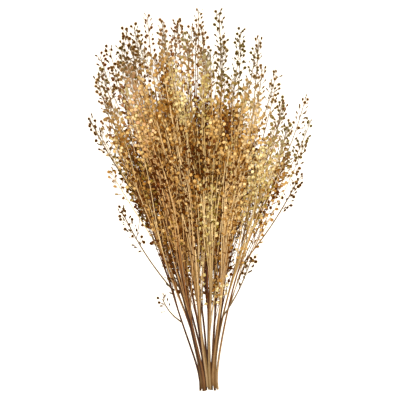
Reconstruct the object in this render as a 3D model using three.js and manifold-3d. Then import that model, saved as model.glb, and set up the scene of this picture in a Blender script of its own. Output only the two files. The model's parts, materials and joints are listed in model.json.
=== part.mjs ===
// Dried pepperweed: a loose bunch of 22 cut stems lying on a flat surface, in millimetres.
// +Y runs up the bunch from the cut ends to the tips, X is across it and +Z is up from the surface.
// Each cut stem is one solid, which branches into slender sprays of flat, heart-shaped seed pods.
import * as THREE from "three";
import { mergeVertices } from "three/addons/utils/BufferGeometryUtils.js";
import Module from "manifold-3d";

// The bunch. Stems lie in layers like a pile of rods where they are gathered, and fan out from there.
const LAYERS = [7, 6, 5, 4]; // stems in each layer, from the surface up
const PITCH = 3.45; // from stem to stem where the bunch is narrowest
const GATHER_Y = 8; // height of that narrowest place
const FAN = 0.122; // what the distance from stem to stem grows by, per mm up the bunch
const LOW_FAN = 0.87; // share of that growth low in the bunch, which flares out above
const FLARE_FROM = 120;
const FLARE_TO = 330;
const LAYER_STEP = Math.sqrt(3) / 2; // from layer to layer, in pitches
const LAYER_CAP = 50; // the pitch that the layers' own spacing levels off at, so that the pile lies flat
const LEAN = -0.065; // the bunch leans left, per mm up
const LAYER_SWAY = 0.05; // each layer leans its own way by up to this much, so stems cross seen from above
const WAVE = 5; // how far stems wander from a straight line
const FLOOR_AXIS = 0.85; // height of the lowest stems' axes near the cut ends, which rest on a flat strip
const SPRAY_LIFT = 6.6; // height of the lowest stems' axes among the sprays, which rest on their pods
const LIFT_FROM = 130;
const LIFT_TO = 230;
const JITTER = 0.07; // how far a stem strays from its place in the pile, in pitches
const MIDDLE = new THREE.Vector3(-10.741, 236.464, 0); // of the finished bunch, on the surface: the origin

// The stems.
const CUT_SPREAD = 8; // the cut ends lie within this height
// Heights of the tips, by half pitches from the left of the bunch to its right.
const TIP_HEIGHTS = [331, 379, 418, 445, 460, 446, 472, 460, 440, 432, 374, 352, 355];
const LAYER_DROP = [0, 0, 30, 60]; // how much shorter the stems of each layer are
const STEM_RADIUS = 1.5;
const TIP_RADIUS = 0.45;
const STEM_SIDES = 5;
const STEM_STEPS = 8;
const LOW_STEPS = 1.25; // above 1, the stretches between rings are shorter low down, where stems curve most

// The branches, each of which ends in a spray of pods as the stem itself does.
const BRANCH_EVERY = 58; // one branch for each of these lengths of stem above the lowest
const BRANCH_FROM = 130;
const LOWEST_TIP = 200;
const TOP_GAP = 20; // the highest branch ends this far below the stem's tip
const SPRAY_LENGTH = [58, 80]; // from the lowest branch to the stem's own tip
const BARE_LENGTH = [30, 62]; // what a branch has below its spray
const BRANCH_REACH = 0.4; // sideways from the stem, in pitches
const BRANCH_RISE = 0.3; // up or down from the stem, in pitches
const TURN_UP = [1.5, 3.2]; // at 1 a branch runs straight out, and at 3 it soon turns up along its stem
const BRANCH_SHARE = 0.6; // a branch's radius at its root, as a share of the stem's there
const BRANCH_SIDES = 3;
const BRANCH_STEPS = 3;

// Twigs that stand apart from the rest: [layer, column, root height, tip height, reach, rise].
// The reach and the rise are in pitches.
const STRAY_TWIGS = [
  [0, -3, 232, 336, -0.5, 0.12],
  [0, -3, 126, 222, -1.12, 0.12],
  [0, -3, 84, 113, -1.3, 0.3],
  [1, 2.5, 92, 162, 0.82, 0.1],
  [0, 3, 150, 262, 0.8, 0.1],
];

// The pods.
const PODS_PER_SPRAY = 3.4; // besides the one at the tip
const POD_LENGTH = 4.2;
const POD_WIDTH = 3.9;
const POD_THICKNESS = 1.1;
const STALK_LENGTH = [5.4, 3.6]; // at a spray's foot and near its tip
const STALK_RADIUS = 0.4;
const STALK_ANGLE = [58, 38]; // away from the spray's axis, in degrees
const POD_CLEARANCE = 0.5; // from the other stems and their pods
const FLOOR_DIP = 0.9; // a pod that would reach this far into the surface is pressed flat there

const GOLDEN = 0.618034;
const SILVER = 0.754878;
const GOLDEN_ANGLE = 2.399963;
const UP = new THREE.Vector3(0, 0, 1);
const ACROSS = new THREE.Vector3(1, 0, 0);

const wasm = await Module();
wasm.setup();

const mix = (a, b, t) => a + (b - a) * t;
const smooth = (t) => {
  const s = Math.min(1, Math.max(0, t));
  return s * s * (3 - 2 * s);
};

// An even, repeatable draw between 0 and 1.
const draw = (index, salt) => (0.5 + index * GOLDEN + salt * SILVER) % 1;

// The distance from stem to stem at a height.
function pitchAt(y) {
  const share = mix(LOW_FAN, 1, smooth((y - FLARE_FROM) / (FLARE_TO - FLARE_FROM)));
  return Math.hypot(PITCH, FAN * share * (y - GATHER_Y));
}

// The point of the bunch at a column, a layer and a height. Neighbouring places never cross.
function place(column, layer, y) {
  const pitch = pitchAt(y);
  const rise = LAYER_CAP * Math.tanh(pitch / LAYER_CAP);
  const free = 1 - PITCH / pitch;
  const sway = LAYER_SWAY * Math.sin(1.9 * layer + 0.6) * (y - GATHER_Y);
  const wander = WAVE * free * Math.sin(y / 62 + 1.7 * layer + 0.9 * column);
  const bob = 0.5 * WAVE * free * Math.min(1, layer) * Math.sin(y / 75 + 1.1 * column);
  const lift = mix(FLOOR_AXIS, SPRAY_LIFT, smooth((y - LIFT_FROM) / (LIFT_TO - LIFT_FROM)));
  return new THREE.Vector3(
    column * pitch + LEAN * (y - GATHER_Y) + sway * free + wander,
    y,
    lift + layer * LAYER_STEP * rise + bob,
  );
}

// A closed solid through rings of points, each a single point or a loop of the same number, as a manifold.
function loft(rings) {
  const points = rings.flat();
  const starts = rings.map((_, i) => rings.slice(0, i).flat().length);
  const index = [];
  const sides = Math.max(...rings.map((ring) => ring.length));
  const at = (i, k) => starts[i] + (rings[i].length === 1 ? 0 : k % sides);
  const face = (a, b, c) => {
    if (a !== b && b !== c && c !== a) index.push(a, b, c);
  };
  for (let i = 0; i + 1 < rings.length; i++) {
    for (let k = 0; k < sides; k++) {
      face(at(i, k), at(i + 1, k + 1), at(i, k + 1));
      face(at(i, k), at(i + 1, k), at(i + 1, k + 1));
    }
  }
  const last = rings.length - 1;
  for (let k = 1; k + 1 < sides; k++) {
    face(at(0, 0), at(0, k), at(0, k + 1));
    face(at(last, 0), at(last, k + 1), at(last, k));
  }
  const geometry = new THREE.BufferGeometry().setFromPoints(points);
  geometry.setIndex(index);
  return solidOf(geometry);
}

// A closed geometry as a manifold, which booleans can join and cut.
function solidOf(geometry) {
  const bare = new THREE.BufferGeometry().setAttribute("position", geometry.getAttribute("position"));
  bare.setIndex(geometry.getIndex());
  const merged = mergeVertices(bare, 1e-5);
  return new wasm.Manifold(
    new wasm.Mesh({
      numProp: 3,
      vertProperties: merged.attributes.position.array,
      triVerts: new Uint32Array(merged.index.array),
    }),
  );
}

// Two directions square to a line's own.
function crossAxes(direction) {
  const reference = Math.abs(direction.z) > 0.9 ? ACROSS : UP;
  const side = new THREE.Vector3().crossVectors(direction, reference).normalize();
  return [side, new THREE.Vector3().crossVectors(side, direction)];
}

// A ring of points round a centre. The first side of an odd-sided ring faces down.
function ringRound(centre, direction, radius, sides) {
  const [side, up] = crossAxes(direction);
  return Array.from({ length: sides }, (_, k) => {
    const angle = -Math.PI / 2 + (2 * Math.PI * (k + 0.5)) / sides;
    return centre
      .clone()
      .addScaledVector(side, radius * Math.cos(angle))
      .addScaledVector(up, radius * Math.sin(angle));
  });
}

// The direction of a path at one of its points.
function directionAt(path, i) {
  const before = path[Math.max(0, i - 1)];
  const after = path[Math.min(path.length - 1, i + 1)];
  return new THREE.Vector3().subVectors(after, before).normalize();
}

// A tapering rod along a path, with its radius at each point, that ends in a pod.
function rodWithTipPod(path, radii, sides) {
  const rings = path.map((p, i) => ringRound(p, directionAt(path, i), radii[i], sides));
  const tip = path.at(-1);
  const direction = directionAt(path, path.length - 1);
  const [side, up] = crossAxes(direction);
  const waist = rings.at(-1).map((_, k) => {
    const angle = -Math.PI / 2 + (2 * Math.PI * (k + 0.5)) / sides;
    return tip
      .clone()
      .addScaledVector(direction, 0.5 * POD_LENGTH)
      .addScaledVector(side, 0.5 * POD_WIDTH * Math.cos(angle))
      .addScaledVector(up, 0.5 * POD_THICKNESS * Math.sin(angle));
  });
  return loft([...rings, waist, [tip.clone().addScaledVector(direction, POD_LENGTH)]]);
}

// A flat pod on its stalk, from a root on a spray's axis. Its broad face looks along the spray.
function podSolid(root, out, side, stalk) {
  const normal = new THREE.Vector3().crossVectors(side, out);
  const along = (distance) => root.clone().addScaledVector(out, distance);
  const triangle = (distance, halfWidth, below, above) => [
    along(distance).addScaledVector(side, -halfWidth).addScaledVector(normal, -below),
    along(distance).addScaledVector(side, halfWidth).addScaledVector(normal, -below),
    along(distance).addScaledVector(normal, above),
  ];
  return loft([
    [root],
    triangle(stalk, STALK_RADIUS, 0.5 * STALK_RADIUS, STALK_RADIUS),
    triangle(stalk + 0.45 * POD_LENGTH, 0.5 * POD_WIDTH, 0.35 * POD_THICKNESS, 0.65 * POD_THICKNESS),
    [along(stalk + POD_LENGTH)],
  ]);
}

// The shortest distance between two straight stretches.
function gapBetween(p1, q1, p2, q2) {
  const d1 = new THREE.Vector3().subVectors(q1, p1);
  const d2 = new THREE.Vector3().subVectors(q2, p2);
  const r = new THREE.Vector3().subVectors(p1, p2);
  const a = d1.dot(d1);
  const e = d2.dot(d2);
  const f = d2.dot(r);
  const c = d1.dot(r);
  const b = d1.dot(d2);
  const clamp = (v) => Math.min(1, Math.max(0, v));
  const bottom = a * e - b * b;
  let s = bottom > 1e-9 ? clamp((b * f - c * e) / bottom) : 0;
  const t = clamp((b * s + f) / e);
  s = clamp((b * t - c) / a);
  return p1.clone().addScaledVector(d1, s).distanceTo(p2.clone().addScaledVector(d2, t));
}

// A spray's point and direction at a share of its length. The spray is the last stretch of its path.
function sprayAt(path, length, share) {
  let rest = length * (1 - share);
  let i = path.length - 1;
  while (i > 1 && rest > path[i].distanceTo(path[i - 1])) {
    rest -= path[i].distanceTo(path[i - 1]);
    i -= 1;
  }
  const direction = new THREE.Vector3().subVectors(path[i], path[i - 1]).normalize();
  return { point: path[i].clone().addScaledVector(direction, -rest), direction };
}

// Every stem with its branches, as paths and radii.
function layOutStems() {
  const stems = [];
  LAYERS.forEach((count, layer) => {
    for (let k = 0; k < count; k++) {
      const column = k - (count - 1) / 2;
      stems.push(layOutStem(stems.length, column, layer));
    }
  });
  return stems;
}

function layOutStem(number, column, layer) {
  const tipY = TIP_HEIGHTS[2 * (column + 3)] - LAYER_DROP[layer] + 8 * (draw(number, 1) - 0.5);
  const footY = layer === 0 ? 0.25 * CUT_SPREAD * draw(number, 2) : CUT_SPREAD * draw(number, 2);
  const strayX = JITTER * (2 * draw(number, 3) - 1);
  const strayZ = layer === 0 ? 0 : JITTER * (2 * draw(number, 4) - 1);
  const radiusAt = (y) => mix(STEM_RADIUS, TIP_RADIUS, Math.pow(y / tipY, 0.9));
  const axisAt = (y, reach = 0, rise = 0) => {
    const free = 1 - PITCH / pitchAt(y);
    return place(column + strayX * free + reach, layer + strayZ * free + rise, y);
  };
  const shares = Array.from({ length: STEM_STEPS + 1 }, (_, i) => (i / STEM_STEPS) ** LOW_STEPS);
  const heights = shares.map((share) => mix(footY, tipY, share));
  const stem = {
    number,
    layer,
    shoots: [
      {
        path: heights.map((y) => axisAt(y)),
        radii: heights.map(radiusAt),
        sides: STEM_SIDES,
        spray: SPRAY_LENGTH[1] + 8,
      },
    ],
  };
  const addShoot = (rootY, endY, reach, rise, spray, turnUp) => {
    const radius = BRANCH_SHARE * radiusAt(rootY);
    const path = [];
    const radii = [];
    for (let i = 0; i <= BRANCH_STEPS; i++) {
      const t = i / BRANCH_STEPS;
      const away = 1 - Math.pow(1 - t, turnUp);
      path.push(axisAt(mix(rootY, endY, t), reach * away, rise * away));
      radii.push(mix(Math.max(radius, TIP_RADIUS), TIP_RADIUS, t));
    }
    stem.shoots.push({ path, radii, sides: BRANCH_SIDES, spray });
  };
  const branches = Math.round((tipY - BRANCH_FROM) / BRANCH_EVERY);
  for (let j = 0; j < branches; j++) {
    const t = (j + 0.35 * draw(j, number + 5)) / (branches - 0.65);
    const endY = mix(LOWEST_TIP, tipY - TOP_GAP, t);
    const spray = mix(...SPRAY_LENGTH, t);
    const bare = mix(...BARE_LENGTH, draw(j, number + 9));
    const angle = GOLDEN_ANGLE * (j + 0.37 * number);
    const size = mix(0.72, 1, draw(j, number + 13));
    const rise = BRANCH_RISE * size * Math.sin(angle);
    addShoot(
      endY - spray - bare,
      endY,
      BRANCH_REACH * size * Math.cos(angle),
      (layer === 0 ? 0.8 * Math.abs(rise) : rise) / LAYER_STEP,
      spray,
      mix(...TURN_UP, draw(j, number + 17)),
    );
  }
  for (const [twigLayer, twigColumn, rootY, endY, reach, rise] of STRAY_TWIGS) {
    if (twigLayer !== layer || twigColumn !== column) continue;
    addShoot(rootY, endY, reach, rise, Math.min(SPRAY_LENGTH[0], 0.62 * (endY - rootY)), TURN_UP[1]);
  }
  return stem;
}

// Puts pods on every spray, each on the first side that is clear of the other stems.
function growPods(stems) {
  const taken = stems.map((stem) =>
    stem.shoots.flatMap(({ path, radii }) => {
      const tip = path.at(-1);
      const end = tip.clone().addScaledVector(directionAt(path, path.length - 1), POD_LENGTH);
      const stretches = path.slice(1).map((p, i) => ({ from: path[i], to: p, radius: radii[i] }));
      return [...stretches, { from: tip, to: end, radius: 0.5 * POD_WIDTH }];
    }),
  );
  const isClear = (own, from, to, radius) =>
    taken.every(
      (stretches, other) =>
        other === own ||
        stretches.every((s) => gapBetween(from, to, s.from, s.to) > radius + s.radius + POD_CLEARANCE),
    );
  for (const stem of stems) {
    stem.pods = [];
    stem.shoots.forEach((shoot, b) => {
      const count = Math.max(2, Math.round((PODS_PER_SPRAY * shoot.spray) / SPRAY_LENGTH[1]));
      const touchesFloor = stem.layer === 0 && b === 0;
      for (let k = 0; k < count; k++) {
        const share = (k + 0.3) / (count + 0.15);
        const { point, direction } = sprayAt(shoot.path, shoot.spray, share);
        const [side, up] = crossAxes(direction);
        const stalk = mix(...STALK_LENGTH, share);
        const tilt = THREE.MathUtils.degToRad(mix(...STALK_ANGLE, share));
        const spiral = GOLDEN_ANGLE * (k + 3 * b + stem.number);
        const first = touchesFloor && k === 1 ? -Math.PI / 2 : spiral;
        for (let attempt = 0; attempt < 9; attempt++) {
          const angle = first + GOLDEN_ANGLE * attempt;
          const radial = side.clone().multiplyScalar(Math.cos(angle)).addScaledVector(up, Math.sin(angle));
          const out = new THREE.Vector3().addScaledVector(direction, Math.cos(tilt));
          out.addScaledVector(radial, Math.sin(tilt));
          const podFrom = point.clone().addScaledVector(out, stalk + 0.3 * POD_LENGTH);
          const podTo = point.clone().addScaledVector(out, stalk + POD_LENGTH);
          if (podTo.z < -FLOOR_DIP) continue;
          if (!isClear(stem.number, podFrom, podTo, 0.5 * POD_WIDTH)) continue;
          if (!isClear(stem.number, point, podFrom, STALK_RADIUS)) continue;
          taken[stem.number].push({ from: podFrom, to: podTo, radius: 0.5 * POD_WIDTH });
          taken[stem.number].push({ from: point, to: podFrom, radius: STALK_RADIUS });
          const podSide = new THREE.Vector3().crossVectors(direction, radial).normalize();
          stem.pods.push(podSolid(point, out, podSide, stalk));
          break;
        }
      }
    });
  }
}

// The half of space above the surface.
function aboveSurface() {
  const size = 1200;
  const block = new THREE.BoxGeometry(size, size, size);
  block.translate(0, 0, size / 2);
  return solidOf(block);
}

const straw = new THREE.MeshStandardMaterial({ color: "#c39450", roughness: 0.85, metalness: 0 });
const olive = new THREE.MeshStandardMaterial({ color: "#a98a4a", roughness: 0.85, metalness: 0 });
const russet = new THREE.MeshStandardMaterial({ color: "#8a5230", roughness: 0.85, metalness: 0 });
const FINISHES = [straw, straw, russet, straw, olive, straw, straw, olive];

const bunch = new THREE.Group();
bunch.position.copy(MIDDLE).negate();
const stems = layOutStems();
growPods(stems);
const above = aboveSurface();
for (const stem of stems) {
  const shoots = stem.shoots.map(({ path, radii, sides }) => rodWithTipPod(path, radii, sides));
  const whole = [...shoots.slice(1), ...stem.pods].reduce((sum, piece) => sum.add(piece), shoots[0]);
  const { vertProperties, triVerts } = whole.intersect(above).getMesh();
  const geometry = new THREE.BufferGeometry();
  geometry.setAttribute("position", new THREE.BufferAttribute(vertProperties, 3));
  geometry.setIndex(new THREE.BufferAttribute(triVerts, 1));
  const mesh = new THREE.Mesh(geometry, FINISHES[stem.number % FINISHES.length]);
  mesh.name = `seed_stem_${String(stem.number + 1).padStart(2, "0")}`;
  bunch.add(mesh);
}

export default bunch;
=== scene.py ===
"""Dresses a loose bunch of dried pepperweed, which lies on a pale floor and is seen from above.

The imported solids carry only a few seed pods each. Every cut stem gets one fine piece in its place, on the
same skeleton: a tapering stem, its side branches, and sprays of thin-stalked, spoon-shaped seed pods.
Skeleton sizes are in millimetres, with Y up the bunch from the cut ends, and meshes are in metres.
"""

import json
import logging
import math
from dataclasses import dataclass, field, replace
from enum import Enum, IntEnum

import bpy
import numpy as np
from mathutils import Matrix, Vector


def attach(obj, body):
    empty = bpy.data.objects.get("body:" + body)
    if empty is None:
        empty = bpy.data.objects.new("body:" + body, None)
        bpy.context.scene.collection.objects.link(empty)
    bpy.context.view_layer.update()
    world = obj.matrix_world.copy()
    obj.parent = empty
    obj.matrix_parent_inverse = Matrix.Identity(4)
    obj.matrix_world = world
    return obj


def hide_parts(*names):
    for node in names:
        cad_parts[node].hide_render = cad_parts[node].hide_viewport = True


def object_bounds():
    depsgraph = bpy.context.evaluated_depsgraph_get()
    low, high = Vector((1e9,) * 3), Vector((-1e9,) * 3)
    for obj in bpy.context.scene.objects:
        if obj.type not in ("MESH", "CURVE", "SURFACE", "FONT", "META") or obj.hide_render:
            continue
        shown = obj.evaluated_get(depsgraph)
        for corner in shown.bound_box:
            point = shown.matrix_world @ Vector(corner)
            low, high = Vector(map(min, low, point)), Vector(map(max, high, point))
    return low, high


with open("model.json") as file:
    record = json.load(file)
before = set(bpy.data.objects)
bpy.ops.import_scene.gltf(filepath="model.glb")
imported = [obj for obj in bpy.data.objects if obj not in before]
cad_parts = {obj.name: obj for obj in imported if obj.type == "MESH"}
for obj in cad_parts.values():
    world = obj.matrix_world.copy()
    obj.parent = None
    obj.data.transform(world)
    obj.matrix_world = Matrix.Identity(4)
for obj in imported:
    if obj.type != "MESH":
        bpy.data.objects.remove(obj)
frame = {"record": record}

LOG = logging.getLogger("dried_pepperweed")
CAD_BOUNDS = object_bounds()
MM = 0.001
GOLDEN = 0.618034
SILVER = 0.754878
GOLDEN_ANGLE = 2.399963
UP = np.array([0.0, 0.0, 1.0])
WHITE = "#ffffff"
# Edges that fold by more than this many degrees are drawn sharp.
RIM_ANGLE = 128.0
# Stems and twigs thin by their share along to this power.
TAPER = 0.9

Numbers = np.ndarray | float
Stops = tuple[tuple[float, str], ...]
Tree = bpy.types.NodeTree
Node = bpy.types.Node
Socket = bpy.types.NodeSocket
Material = bpy.types.Material


def mix(a: float, b: float, t: Numbers) -> Numbers:
    """Goes from a to b as t goes from 0 to 1: a + (b - a) t."""
    return a + (b - a) * t


def smooth_step(value: Numbers, start: float, end: float) -> Numbers:
    """Goes from 0 at start to 1 at end: s squared times (3 - 2 s), with s the share of the way there."""
    s = np.clip((value - start) / (end - start), 0.0, 1.0)
    return s * s * (3.0 - 2.0 * s)


class Salt(IntEnum):
    """What a row of draws is for, so that no two rows run alike. A twig's come on top of its kind's own."""

    TIP = 1
    FOOT = 2
    STRAY_ACROSS = 3
    STRAY_UP = 4
    BRANCH_END = 5
    BRANCH_BARE = 9
    BRANCH_SIZE = 13
    BRANCH_TURN = 17
    STEM_TONE = 29
    OUTER_HUE = 31
    WOOD_TONE = 41
    HUE = 17
    TWIG_END = 0
    TWIG_SPRAY = 4
    TWIG_BARE = 8
    TWIG_HOST = 12
    TWIG_SIZE = 16
    TWIG_TURN = 20


def draw(index: float, salt: float) -> float:
    """An even, repeatable draw: the fraction of 0.5 + index * golden + salt * silver."""
    return (0.5 + index * GOLDEN + salt * SILVER) % 1.0


def unit(vectors: np.ndarray) -> np.ndarray:
    """Each row at length 1."""
    return vectors / np.linalg.norm(vectors, axis=-1, keepdims=True)


def linear_colour(hex_code: str) -> tuple[float, float, float, float]:
    """An sRGB hex colour as the linear RGBA that shaders take.

    Args:
        hex_code: six hex digits, with or without a hash.

    Returns:
        The linear red, green and blue, and an alpha of 1.
    """
    digits = hex_code.lstrip("#")
    srgb = [int(digits[i : i + 2], 16) / 255 for i in (0, 2, 4)]
    red, green, blue = (c / 12.92 if c <= 0.04045 else ((c + 0.055) / 1.055) ** 2.4 for c in srgb)
    return red, green, blue, 1.0


# Layout


@dataclass(frozen=True)
class BunchLayout:
    """Where the stems run: piled in layers like rods where they are gathered, and fanned out from there.

    The middle is that of the whole bunch's box, under which the part's frame starts.
    """

    layers: tuple[int, ...] = (7, 6, 5, 4)
    pitch: float = 3.45
    gather_y: float = 8.0
    fan: float = 0.122
    low_fan: float = 0.87
    flare: tuple[float, float] = (120.0, 330.0)
    layer_step: float = math.sqrt(3) / 2
    layer_cap: float = 50.0
    lean: float = -0.065
    layer_sway: float = 0.05
    sway_phase: tuple[float, float] = (1.9, 0.6)
    wave: float = 5.0
    wave_length: float = 62.0
    wave_phase: tuple[float, float] = (1.7, 0.9)
    bob_share: float = 0.5
    bob_length: float = 75.0
    bob_phase: float = 1.1
    floor_axis: float = 0.85
    spray_lift: float = 6.6
    lift: tuple[float, float] = (130.0, 230.0)
    middle: tuple[float, float] = (-10.741, 236.464)

    def pitch_at(self, y: Numbers) -> Numbers:
        """Stem to stem distance at a height: the root of pitch squared plus the fan's own width squared."""
        share = mix(self.low_fan, 1.0, smooth_step(y, *self.flare))
        return np.hypot(self.pitch, self.fan * share * (y - self.gather_y))

    def free(self, y: Numbers) -> Numbers:
        """How free a stem is to stray: 0 where the bunch is gathered, towards 1 above."""
        return 1.0 - self.pitch / self.pitch_at(y)

    def rise_at(self, pitch: Numbers) -> Numbers:
        """Layer to layer distance before the layer step: cap * tanh(pitch / cap)."""
        return self.layer_cap * np.tanh(pitch / self.layer_cap)

    def lift_at(self, y: Numbers) -> Numbers:
        """Height of the lowest layer's axes, which rise off the surface where the sprays are."""
        return mix(self.floor_axis, self.spray_lift, smooth_step(y, *self.lift))

    def middle_at(self, y: Numbers) -> Numbers:
        """How far across the bunch's middle line is at a height: lean * (y - the gathered height)."""
        return self.lean * (y - self.gather_y)

    def place(self, column: np.ndarray, layer: np.ndarray, y: np.ndarray) -> np.ndarray:
        """Points of the bunch at a column, a layer and a height.

        x is the middle line plus column * pitch(y), the layer's sway and a slow sine wave. z is the lift of
        the lowest layer, plus layer * step * cap * tanh(pitch / cap), plus a small wave.

        Args:
            column: places across the bunch, in pitches from its middle.
            layer: places up from the surface, in layers.
            y: heights up the bunch in mm.

        Returns:
            One row of x, y and z in mm for each height.
        """
        pitch = self.pitch_at(y)
        rise = self.rise_at(pitch)
        free = self.free(y)
        turn, start = self.sway_phase
        sway = self.layer_sway * np.sin(turn * layer + start) * (y - self.gather_y) * free
        by_layer, by_column = self.wave_phase
        wander = self.wave * free * np.sin(y / self.wave_length + by_layer * layer + by_column * column)
        bob = self.bob_share * self.wave * free * np.minimum(1.0, layer)
        bob = bob * np.sin(y / self.bob_length + self.bob_phase * column)
        x = column * pitch + self.middle_at(y) + sway + wander
        return np.stack([x, y, self.lift_at(y) + layer * self.layer_step * rise + bob], axis=-1)

    def to_frame(self, points: np.ndarray) -> np.ndarray:
        """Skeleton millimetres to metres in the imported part's frame."""
        return (points - np.array([*self.middle, 0.0])) * MM


@dataclass(frozen=True)
class Shoot:
    """One stem, branch or twig that ends in a spray.

    Offsets are in pitches across and up from its stem's axis. The order is 0 for the stem itself, 1 for a
    branch and 2 for a twig.
    """

    root_y: float
    end_y: float
    root_offset: tuple[float, float]
    end_offset: tuple[float, float]
    radii: tuple[float, float]
    spray: float
    hue: float
    order: int
    turn_up: float = 1.0
    pale_share: float = 0.0
    stray: bool = False

    def offsets(self, t: np.ndarray) -> tuple[np.ndarray, np.ndarray]:
        """Offsets along the shoot: from the root's to the end's by 1 - (1 - t) to the power of its turn up.

        At a power of 1 it runs straight out, and at 3 it soon turns up along its stem.

        Args:
            t: shares of its height, from 0 to 1.

        Returns:
            Offsets across and up, in pitches.
        """
        away = 1.0 - (1.0 - t) ** self.turn_up
        across = mix(self.root_offset[0], self.end_offset[0], away)
        up = mix(self.root_offset[1], self.end_offset[1], away)
        return across, up


@dataclass(frozen=True)
class TwigKind:
    """One kind of twig that fills a stem out. Lengths are in mm, and reaches in pitches off the stem's axis.

    An arching kind rises clear over its stem, and its bark is drawn paler. A clumped kind grows thicker
    round one column of the bunch.
    """

    every: float
    lowest_end: float
    tip_gap: float
    spray: tuple[float, float]
    bare: tuple[float, float]
    reach: tuple[float, float]
    turn_up: tuple[float, float]
    radius: float
    salt: float
    arching: bool = False
    clumped: bool = False


SIDE_TWIG = TwigKind(
    every=12.5,
    lowest_end=205.0,
    tip_gap=96.0,
    spray=(34.0, 66.0),
    bare=(8.0, 30.0),
    reach=(0.18, 0.5),
    turn_up=(1.1, 2.4),
    radius=0.5,
    salt=21.0,
)
LONG_TWIG = TwigKind(
    every=42.0,
    lowest_end=250.0,
    tip_gap=4.0,
    spray=(44.0, 66.0),
    bare=(60.0, 130.0),
    reach=(0.3, 0.7),
    turn_up=(1.0, 1.7),
    radius=0.62,
    salt=53.0,
    clumped=True,
)
FORK_TWIG = TwigKind(
    every=62.0,
    lowest_end=250.0,
    tip_gap=90.0,
    spray=(36.0, 56.0),
    bare=(90.0, 150.0),
    reach=(0.7, 1.2),
    turn_up=(1.0, 1.6),
    radius=0.75,
    salt=71.0,
    arching=True,
)
LOW_TWIG = TwigKind(
    every=72.0,
    lowest_end=116.0,
    tip_gap=200.0,
    spray=(26.0, 50.0),
    bare=(24.0, 56.0),
    reach=(0.3, 0.9),
    turn_up=(1.0, 1.6),
    radius=0.55,
    salt=87.0,
)
TWIG_KINDS = (SIDE_TWIG, LONG_TWIG, FORK_TWIG, LOW_TWIG)


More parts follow.
